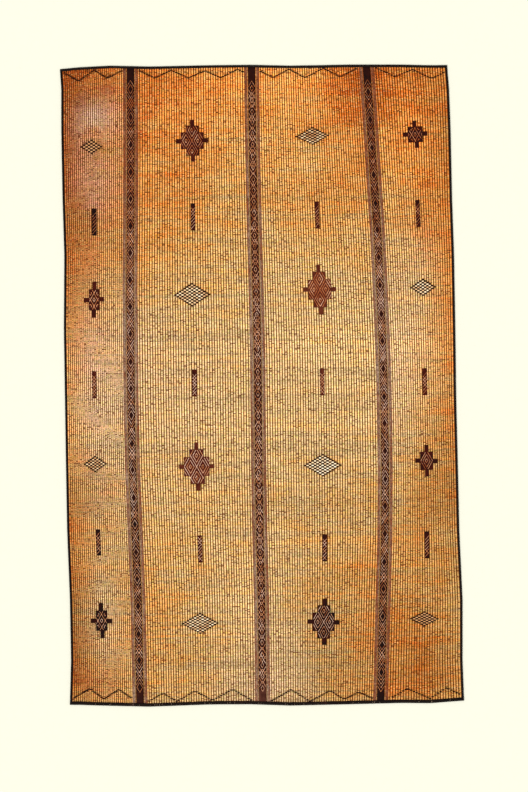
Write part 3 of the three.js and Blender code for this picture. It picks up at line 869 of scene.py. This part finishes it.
def buildBand(band, name):
    chance = np.random.default_rng(bands["seed"] + band)
    half, leftPart, pattern = bandLayout["half"], bands["profile"], bands["patterns"][band]
    profile = leftPart + [(1 - share, -shift, height) for share, shift, height in reversed(leftPart)]
    strip, stripFaces = stripAlong(band, -half, half, profile, chance)
    laces, centres = bandLaces(band, chance)
    laces[:, [0, 2]] += bandMiddle(band, laces[:, [1, 3]])
    lacePoints, laceFaces = ridges(laces, pattern["width"], bands["laceLow"], bands["laceHigh"])
    laceFade = readRow(bands["laceFaded"], lacePoints[:, 1], band + 1)
    laceFade = laceFade + np.repeat(chance.uniform(*bands["laceUneven"], len(laces)), ridgePoints)
    shapes = [(strip, stripFaces, 0, readRow(bands["faded"], strip[:, 1], band + 1)),
              (lacePoints, laceFaces, 1, laceFade)]
    width, length = pattern["lozenge"]
    rim = np.array([(width, 0), (0, length), (-width, 0), (0, -length)])
    for centre in centres[np.abs(centres) < bands["lozengeReach"]]:
        middle = (float(bandMiddle(band, centre)), centre)
        rims = [np.column_stack([rim * size + middle, np.full(4, z)]) for size, z in bands["lozengeRims"]]
        fade = readRow(bands["faded"], centre, band + 1) * bands["lozengeFaded"]
        shapes.append((np.vstack(rims), sweepFaces(2, 4), 0, fade))
    points, faces, marks, values = joinShapes(shapes)
    return makePiece(name, points, faces, [leathers["bandLeather"], leathers["lacingLeather"]], marks, values)


bandPieces = [buildBand(band, "bandStrap_" + name) for band, name in enumerate(bandNames)]

flanks = {
    "low": 3.7, "cords": 3, "seed": 31,
    "cordForm": ((0.05, 4.15), (0.32, 4.9), (0.68, 4.9), (0.95, 4.15)),  # share across, height
    # along, then how faded the flanks of the left, middle and right band are
    "faded": [
        (-1480, 0.45, 0.45, 0.05), (-900, 0.4, 0.45, 0.2), (-300, 0.4, 0.5, 0.45), (150, 0.6, 0.5, 0.65),
        (500, 0.5, 0.5, 0.5), (800, 0.3, 0.35, 0.25), (1100, 0.05, 0.2, 0.05), (1480, 0.0, 0.1, 0.0),
    ],
    "shade": [0.15, 0.05, -0.25],  # from the band outwards
    "leftShade": 0.08, "shadeDrift": (7, 0.3),
}


def cordProfile():
    # cords sewn side by side, with a groove between each two
    low, cords = flanks["low"], flanks["cords"]
    rows = [((cord + share) / cords, 0.0, height)
            for cord in range(cords) for share, height in flanks["cordForm"]]
    return [(0, 0.0, low), *rows, (1, 0.0, low)]


def buildFlanks(band, name):
    chance = np.random.default_rng(flanks["seed"] + band)
    inner = bandLayout["half"] + bandLayout["gap"]
    profile, cords, stations = cordProfile(), flanks["cords"], strips["stations"]
    numbers = np.array([min(cords - 1, int(share * cords)) for share, _, _ in profile])
    shapes, cordOf = [], []
    for side in (-1, 1):
        left, right = sorted((side * inner, side * bandReach))
        strip, faces = stripAlong(band, left, right, profile, chance)
        fade = readRow(flanks["faded"], strip[:, 1], band + 1)
        outward = numbers if side > 0 else cords - 1 - numbers
        shade = np.array(flanks["shade"])[outward] + (flanks["leftShade"] if side < 0 else 0)
        each = np.stack([waver(chance, stations, *flanks["shadeDrift"]) for _ in range(cords)], 1)[:, numbers]
        shapes.append((strip, faces, 0, np.clip(fade + (shade[None] + each).ravel(), 0, 1)))
        cordOf.append(np.tile(numbers + (side > 0) * cords, stations) + band * 10)
    points, faces, marks, values = joinShapes(shapes)
    values["cord"] = np.concatenate(cordOf)
    return makePiece(name, points, faces, [leathers["flankLeather"]], marks, values)


flankPieces = [buildFlanks(band, "flankStraps_" + name) for band, name in enumerate(bandNames)]
print("bands and flanks laid")

# Medallions and bars: leather plates with laces over them
plates = {"low": 4.4, "high": 5.3, "side": 0.45, "worn": 0.7, "laceLow": 5.2, "laceHigh": 5.58}


def lacedPlate(across, along, rim, segments, laceWidth, fade, laceFade):
    # drawn about its own middle, then turned with the thongs and set on the mat
    angle = leanAt(across, along)
    high = plates["high"]
    points, faces = leatherPlate(rim, plates["low"], high - plates["side"], high, plates["worn"])
    laces, laceFaces = ridges(segments, laceWidth, plates["laceLow"], plates["laceHigh"])
    return [(turnAbout(points, across, along, angle), faces, 0, fade),
            (turnAbout(laces, across, along, angle), laceFaces, 1, np.repeat(laceFade, ridgePoints))]


def makeLaced(name, shapes, skins):
    points, faces, marks, values = joinShapes(shapes)
    return makePiece(name, points, faces, [leathers[skin] for skin in skins], marks, values, smooth=False)


medallions = {
    "ear": 22, "earHalf": 10, "tabHalf": 9.5, "shoulder": 0.57, "seed": 12,
    "corner": 1.32, "margin": 2.5, "laceStep": 1.5, "laceShift": 0.5, "laceUneven": (-0.5, 0.25),
    # by the number of steps: share of the length in a tab, and in a shoulder
    "tabs": {1: (0.21, 0), 2: (0.14, 0.16)},
    # across, along, width, length, steps; shift of the top and bottom tab, lift of the left and
    # right ear; half a diamond's width, outlines in each, 1 for a diamond in the middle; lace
    # width; how faded the leather and the laces are
    "rows": [
        (-322, 1126, 148, 192, 2, (1, 4, -2, 2), (27, 2, 0), 2.2, 0.45, 0.35),
        (704, 1155, 112, 125, 1, (-2, 6, 1, 2), (16.5, 1, 1), 2.3, 0.25, 0.1),
        (-772, 395, 92, 166, 1, (2, -1, -2, 3), (16.5, 1, 1), 2.5, 0.4, 0.6),
        (266, 442, 150, 230, 2, (-4, 3, 2, -1), (27, 2, 0), 2.5, 0.8, 0.45),
        (-300, -372, 162, 222, 2, (0, 6, 0, 0), (28.5, 2, 0), 2.2, 0.7, 0.8),
        (757, -345, 104, 145, 1, (0, 1, 1, -2), (27, 2, 1), 2.0, 0.32, 0.3),
        (-737, -1080, 97, 161, 1, (-2, 2, 0, -3), (16.5, 1, 1), 1.7, 0.0, 0.75),
        (284, -1086, 145, 212, 2, (4, 3, 1, -2), (27, 2, 0), 1.7, 0.12, 0.7),
    ],
}


def steppedOutline(width, length, steps, topShift, bottomShift, leftLift, rightLift):
    # a rim that runs anticlockwise, and the blocks that the laces may cover
    tabShare, shoulderShare = medallions["tabs"][steps]
    tip, end, ear = width / 2, length / 2, medallions["earHalf"]
    body = tip - medallions["ear"]
    shoulderTop = end - length * tabShare
    bodyTop = shoulderTop - length * shoulderShare
    blocks = [(body, bodyTop), (body * medallions["shoulder"], shoulderTop)][:steps]

    def halfRim(shift, liftFrom, liftTo):
        # from the lower corner of one ear over the top to the other ear
        rising, falling, low = [(body, bodyTop)], [(-body, bodyTop)], bodyTop
        halfShifted = [(half, top, shift / 2) for half, top in blocks[1:]]
        for half, top, lean in [*halfShifted, (medallions["tabHalf"], end, shift)]:
            rising += [(lean + half, low), (lean + half, top)]
            falling += [(lean - half, low), (lean - half, top)]
            low = top
        start = [(tip, liftFrom - ear), (tip, liftFrom + ear), (body, liftFrom + ear)]
        return np.array(start + rising + falling[::-1] + [(-body, liftTo + ear)], dtype=float)

    top, bottom = halfRim(topShift, rightLift, leftLift), -halfRim(-bottomShift, -leftLift, -rightLift)
    return np.vstack([top, bottom]), blocks


def diamondNet(width, inner, centred):
    # a net of crossing laces, with smaller diamonds laced inside each opening
    length, reach = width * bands["slope"], 6
    lines = range(-reach, reach + 1)
    segments = []
    for line in lines:
        if (line + centred) % 2 == 0:
            for lean in (-1, 1):
                tilt = lean * length * reach
                segments.append((width * (line - reach), -tilt, width * (line + reach), tilt))
    for x, y in [(column * width, row * length) for column in lines for row in lines
                 if (column + row + centred) % 2 == 1]:
        for share in 1 - np.arange(1, inner + 1) / (inner + 0.5):
            tips = [(x + width * share, y), (x, y + length * share),
                    (x - width * share, y), (x, y - length * share)]
            segments += [(*tips[i], *tips[(i + 1) % 4]) for i in range(4)]
    return segments


def keepOn(segments, blocks):
    # the parts of each lace that lie on the leather, clear of its outer corners
    margin, kept = medallions["margin"], []
    for x0, y0, x1, y1 in segments:
        shares = np.linspace(0, 1, max(3, int(math.hypot(x1 - x0, y1 - y0) / medallions["laceStep"])))
        x, y = np.abs(x0 + (x1 - x0) * shares), np.abs(y0 + (y1 - y0) * shares)
        on = np.any([(x < width - margin) & (y < length - margin) for width, length in blocks], axis=0)
        on &= x / blocks[0][0] + y / blocks[-1][1] < medallions["corner"]
        turns = np.flatnonzero(np.diff(np.concatenate([[0], on, [0]]).astype(int)))
        for start, end in zip(turns[::2], turns[1::2] - 1):
            if end - start > 2:
                ends = shares[[start, end]]
                kept.append(np.column_stack([x0 + (x1 - x0) * ends, y0 + (y1 - y0) * ends]).ravel())
    return np.array(kept)


def buildMedallions():
    chance = np.random.default_rng(medallions["seed"])
    shapes = []
    for across, along, width, length, steps, uneven, net, laceWidth, fade, laceFade in medallions["rows"]:
        rim, blocks = steppedOutline(width, length, steps, *uneven)
        segments = shaken(chance, keepOn(diamondNet(*net), blocks), medallions["laceShift"])
        worn = laceFade + chance.uniform(*medallions["laceUneven"], len(segments))
        shapes += lacedPlate(across, along, rim, segments, laceWidth, fade, worn)
    return makeLaced("medallionSet", shapes, ["medallionLeather", "lacingLeather"])


medallionPiece = buildMedallions()

bars = {
    "width": 21, "laceWidth": 1.7, "laceStep": 15.5, "laceInset": 1.8, "laceSlope": 1.15,
    "stepSpread": (0.9, 1.1), "laceUneven": (-0.4, 0.15), "seed": 14,
    "fromEnds": (7, 26.7),  # the first and the last lace start at least so far from the ends
    # across, along, length, how faded the leather and the laces are, share of laces that cross back
    "rows": [
        (-771, 752, 124, 0.0, 0.25, 0.4), (-317, 776, 124, 0.2, 0.5, 0.4), (253, 785, 124, 0.4, 0.5, 0.4),
        (717, 792, 124, 0.3, 0.35, 0.3), (-771, 4, 124, 0.5, 0.8, 0.9), (-310, 12, 124, 0.45, 1.0, 0.9),
        (277, 17, 124, 0.75, 0.8, 0.8), (749, 18, 124, 0.5, 0.6, 0.5), (-752, -721, 120, 0.1, 0.6, 0.6),
        (-285, -751, 124, 0.4, 0.8, 0.8), (288, -746, 124, 0.3, 0.8, 0.7), (758, -732, 124, 0.2, 0.5, 0.5),
    ],
}


def buildBars():
    chance = np.random.default_rng(bars["seed"])
    reach = bars["width"] / 2 - bars["laceInset"]
    rise = reach * 2 * bars["laceSlope"]
    shapes = []
    for across, along, length, fade, laceFade, crossing in bars["rows"]:
        start, segments = bars["fromEnds"][0] - length / 2, []
        while start < length / 2 - bars["fromEnds"][1]:
            segments.append((-reach, start, reach, start + rise))
            if chance.random() < crossing:
                segments.append((reach, start, -reach, start + rise))
            start += bars["laceStep"] * chance.uniform(*bars["stepSpread"])
        worn = laceFade + chance.uniform(*bars["laceUneven"], len(segments))
        rim = boxRim(bars["width"], length)
        shapes += lacedPlate(across, along, rim, segments, bars["laceWidth"], fade, worn)
    return makeLaced("barSet", shapes, ["medallionLeather", "lacingLeather"])


barPiece = buildBars()

# Open rhombs and zigzags, laced in short dark dashes
lattices = {
    "low": 4.15, "high": 5.35, "shift": 0.3, "seed": 16,
    # how much of the pitch a dash fills, how uneven that is, how faded it is; then the same of the
    # short pale lengths of scraped reed between the dashes
    "dashFill": (1.04, 1.0), "dashSpread": (0.92, 1.06), "dashFaded": (0.1, 0.4),
    "beadFill": (0.92, 0.8), "beadSpread": (0.85, 1.05), "beadFaded": (-0.4, 0.3),
    "beadLow": 3.5, "beadHigh": 4.5, "beadWorn": 1.0,
    # across, along, width, length, openings a side, how pale the reed between the dashes is
    "rows": [
        (-784, 1098, 100, 66, 4, -0.25), (232, 1148, 154, 81, 6, 0.25), (-321, 418, 166, 108, 7, 0.5),
        (740, 452, 115, 78, 5, 0.5), (-766, -360, 104, 74, 5, 0.25), (279, -366, 172, 103, 7, 0.75),
        (-284, -1093, 169, 95, 7, 0.5), (747, -1072, 130, 68, 5, -0.1),
    ],
}


def rhombPlaces(side, pitch):
    places = [(column - row, column + row + 1 - side) for row in range(side) for column in range(side)]
    return np.array(places) * pitch


def buildLattices():
    chance = np.random.default_rng(lattices["seed"])
    shapes = []
    for across, along, width, length, openings, paleness in lattices["rows"]:
        pitch = np.array([width, length]) / (2 * openings + 1)
        angle = leanAt(across, along)
        centres = shaken(chance, rhombPlaces(openings + 1, pitch), lattices["shift"])
        sizes = pitch * lattices["dashFill"] * chance.uniform(*lattices["dashSpread"], centres.shape)
        points, faces = pads(centres, sizes, lattices["low"], lattices["high"])
        faded = chance.uniform(*lattices["dashFaded"])
        shapes.append((turnAbout(points, across, along, angle), faces, 0, faded))
        clear = rhombPlaces(openings, pitch)
        sizes = pitch * lattices["beadFill"] * chance.uniform(*lattices["beadSpread"], clear.shape)
        points, faces = pads(clear, sizes, lattices["beadLow"], lattices["beadHigh"], lattices["beadWorn"])
        faded = np.clip(paleness + chance.uniform(*lattices["beadFaded"], len(clear)), 0, 1)
        faded = np.repeat(faded, len(points) // len(clear))
        shapes.append((turnAbout(points, across, along, angle), faces, 1, faded))
    return makeLaced("latticeSet", shapes, ["dashLeather", "paleBead"])


latticePiece = buildLattices()

zigzags = {
    "low": 4.15, "high": 5.35, "dash": (11.8, 5.4), "dashSpread": (0.88, 1.08), "shift": 0.5,
    "beyond": 3, "faded": 0.2, "seed": 18,
    # panel, then the turning points, across and along
    "rows": [
        (0, [(-912, 1440), (-843, 1400), (-773, 1451), (-711, 1414), (-643, 1449)]),
        (1, [(-568, 1450), (-493, 1414), (-418, 1451), (-339, 1414), (-262, 1448), (-190, 1416),
             (-111, 1455), (-87, 1443)]),
        (2, [(-8, 1446), (52, 1416), (124, 1455), (199, 1416), (281, 1459), (361, 1420), (437, 1460)]),
        (3, [(525, 1460), (613, 1420), (691, 1454), (781, 1412), (835, 1439)]),
        (0, [(-865, -1436), (-791, -1393), (-727, -1440), (-658, -1397), (-598, -1437)]),
        (1, [(-518, -1450), (-455, -1414), (-391, -1452), (-308, -1404), (-227, -1447), (-135, -1396),
             (-49, -1445)]),
        (2, [(43, -1449), (134, -1398), (221, -1451), (314, -1402), (377, -1442), (445, -1409),
             (507, -1438)]),
        (3, [(595, -1435), (670, -1393), (773, -1438), (848, -1389), (910, -1419)]),
    ],
}


def buildZigzags():
    # one dash on each thong that the line passes
    chance = np.random.default_rng(zigzags["seed"])
    centres = []
    for panel, turns in zigzags["rows"]:
        across, along = np.array(turns, dtype=float).T
        for turn in range(panelThongs[panel]):
            x = float(thongAcross(panel, turn + 0.5, along.mean()))
            if across[0] - zigzags["beyond"] <= x <= across[-1] + zigzags["beyond"]:
                centres.append((x, np.interp(x, across, along)))
    centres = shaken(chance, centres, zigzags["shift"])
    sizes = zigzags["dash"] * chance.uniform(*zigzags["dashSpread"], centres.shape)
    shape = (*pads(centres, sizes, zigzags["low"], zigzags["high"]), 0, zigzags["faded"])
    return makeLaced("zigzagSet", [shape], ["dashLeather"])


zigzagPiece = buildZigzags()
print("motifs laced")

# Bindings: leather folded round each edge, and its stitches
bindings = {
    "side": {"stations": 260, "outer": (4, 0.25), "inner": (4, 0.6), "dye": (9, 0.1), "seed": 41},
    "end": {"stations": 170, "outer": (4, 0.3), "inner": (4, 0.9), "dye": (6, 0.3), "seed": 45},
    "clear": 0.3,
    # inset from the edge and height: the outer face, then the inner face back; None is the full width
    "fold": [
        (None, 0.0), (1.2, 0.0), (0.15, 0.7), (0.0, 2.4), (0.15, 4.2), (1.2, 4.9), (None, 4.86),
        (None, 3.72), (2.0, 3.7), (1.3, 3.35), (1.2, 2.4), (1.3, 1.55), (2.0, 1.22), (None, 1.2),
    ],
}


def alongSide(edge, inset, shares):
    clear = bindings["clear"]
    insets = outline["bindingBottom"] + clear, outline["bindingTop"] + clear
    return settle(lambda a: edge(a) + inset, shares, *insets)


def acrossEnd(edge, inset, shares):
    along = np.full(len(shares), float(edge(0.0)))
    for _ in range(4):
        left, right = leftEdge(along), rightEdge(along)
        across = left + (right - left) * shares
        along = edge(across) + inset
    return across, along


def buildBinding(name, kind, edge, inward, width, faded):
    form = bindings[kind]
    stations = form["stations"]
    chance = np.random.default_rng(form["seed"] + (inward > 0))
    outer, inner = (waver(chance, stations, *form[label]) for label in ("outer", "inner"))
    shares = np.linspace(0, 1, stations)
    rings = []
    for inset, height in bindings["fold"]:
        inset = width if inset is None else inset
        drift = inward * np.abs(outer * (1 - inset / width) + inner * inset / width)
        if kind == "side":
            across, along = alongSide(edge, inward * inset, shares)
            across = across + drift
        else:
            across, along = acrossEnd(edge, inward * inset, shares)
            along = along + drift
        rings.append(np.stack([across, along, np.full(stations, height)], -1))
    points = np.stack(rings, 1).reshape(-1, 3)
    fade = np.clip(faded + waver(chance, stations, *form["dye"]), 0, 1)
    faces = sweepFaces(stations, len(rings), folded=True)
    values = {"faded": np.repeat(fade, len(rings))}
    return makePiece(name, points, faces, [leathers["bindingLeather"]], values=values)


sideWidth, topWidth, bottomWidth = outline["bindingSide"], outline["bindingTop"], outline["bindingBottom"]
bindingPieces = {
    "binding_left": buildBinding("leftFold", "side", leftEdge, 1, sideWidth, 0.1),
    "binding_right": buildBinding("rightFold", "side", rightEdge, -1, sideWidth, 0.1),
    "binding_top": buildBinding("topFold", "end", topEdge, -1, topWidth, 0.1),
    "binding_bottom": buildBinding("bottomFold", "end", bottomEdge, 1, bottomWidth, 0.35),
}

stitching = {
    "length": 3.4, "every": 8.0, "width": 0.9, "low": 4.75, "high": 5.25,
    "sideInset": 2.2, "sideRange": (-1440, 1450), "endInset": 2.4, "endRange": (-870, 830),
    "ticks": 34, "tickRange": (-860, 880), "tickInset": (2.5, 5), "tickLength": (4, 8), "tickLean": (-1, 1),
    "faded": (0.4, 0.7), "seed": 51,
}


def buildStitches():
    # dark thread along each inner edge, a few light ticks on the wider bottom fold
    chance = np.random.default_rng(stitching["seed"])
    length, dark, light = stitching["length"], [], []
    for edge, inward in ((leftEdge, 1), (rightEdge, -1)):
        for along in np.arange(*stitching["sideRange"], stitching["every"]):
            x = float(edge(along)) + inward * (sideWidth - stitching["sideInset"])
            dark.append((x, along, x, along + length))
    for edge, inward, width in ((bottomEdge, 1, bottomWidth), (topEdge, -1, topWidth)):
        for across in np.arange(*stitching["endRange"], stitching["every"]):
            y = float(edge(across)) + inward * (width - stitching["endInset"])
            dark.append((across, y, across + length, y))
    for across in chance.uniform(*stitching["tickRange"], stitching["ticks"]):
        y = float(bottomEdge(across)) + chance.uniform(*stitching["tickInset"])
        lean = chance.uniform(*stitching["tickLean"])
        light.append((across, y, across + lean, y + chance.uniform(*stitching["tickLength"])))
    shapes = []
    for mark, segments in enumerate((dark, light)):
        points, faces = ridges(segments, stitching["width"], stitching["low"], stitching["high"])
        shapes.append((points, faces, mark, stitching["faded"][mark]))
    return makeLaced("edgeStitches", shapes, ["dashLeather", "stitchThread"])


stitchPiece = buildStitches()
print("edges bound and stitched")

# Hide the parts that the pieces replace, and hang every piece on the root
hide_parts("reed_ground")
for piece, name in zip(bandPieces, bandNames):
    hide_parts("band_" + name)
for piece, name in zip(flankPieces, bandNames):
    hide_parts("flank_" + name + "_a", "flank_" + name + "_b")
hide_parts(*["medallion_" + str(i + 1) for i in range(len(medallions["rows"]))])
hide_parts(*["bar_" + str(i + 1) for i in range(len(bars["rows"]))])
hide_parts(*["lattice_" + str(i + 1) for i in range(len(lattices["rows"]))])
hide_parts(*["zigzag_" + end + "_" + str(i) for end in ("top", "bottom") for i in range(1, 5)])
for node, piece in bindingPieces.items():
    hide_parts(node)

slots = {
    "reed": [reedPiece], "band_leather": bandPieces, "flank_leather": flankPieces,
    "medallion_leather": [medallionPiece, barPiece], "binding_leather": list(bindingPieces.values()),
    "lace_leather": thongPieces + [tiePiece, latticePiece, zigzagPiece, stitchPiece],
}
for slot, pieces in slots.items():
    for piece in pieces:
        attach(piece, "root")

sidePlaces = np.linspace(-1465, 1465, 200)
flatArea = float(np.mean(rightEdge(sidePlaces) - leftEdge(sidePlaces)) * matLength) * mm * mm
